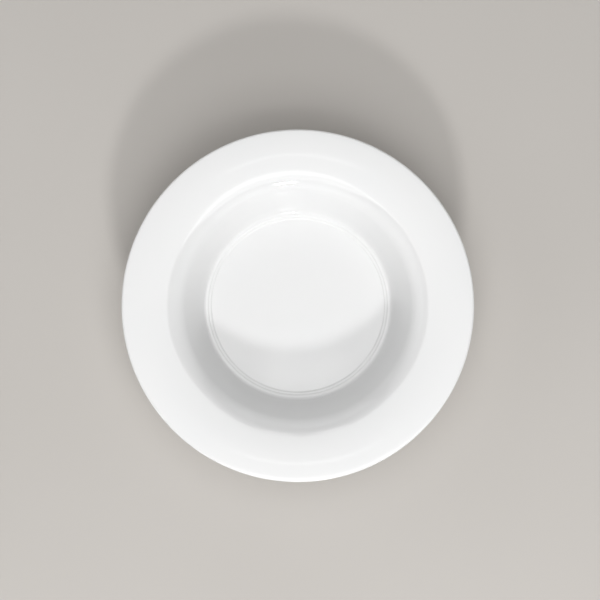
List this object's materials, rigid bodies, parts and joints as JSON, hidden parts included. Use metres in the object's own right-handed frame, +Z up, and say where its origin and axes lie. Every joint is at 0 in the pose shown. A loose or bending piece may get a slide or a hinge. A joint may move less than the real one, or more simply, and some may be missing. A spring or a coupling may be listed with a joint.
{
  "type": "dinner plate",
  "caption": "Round deep dinner plate in plain glazed porcelain, with a wide rim, a dished well framed by fine rings, and a bare foot ring.",
  "frame": {"origin": "centre of the circle that the foot ring stands on, level with the table", "axes": "+Z up along the axis that the plate is turned on, out of the well; X and Y lie across the rim, and the plate is the same all the way round"},
  "size_m": [0.25, 0.25, 0.0487],
  "materials": {
    "bare_porcelain": "matte",
    "white_glaze": "gloss"
  },
  "bodies": {
    "root": {"porcelain_body": "bare_porcelain", "face_and_back_glaze": "white_glaze", "base_glaze": "white_glaze"}
  },
  "joints": []
}
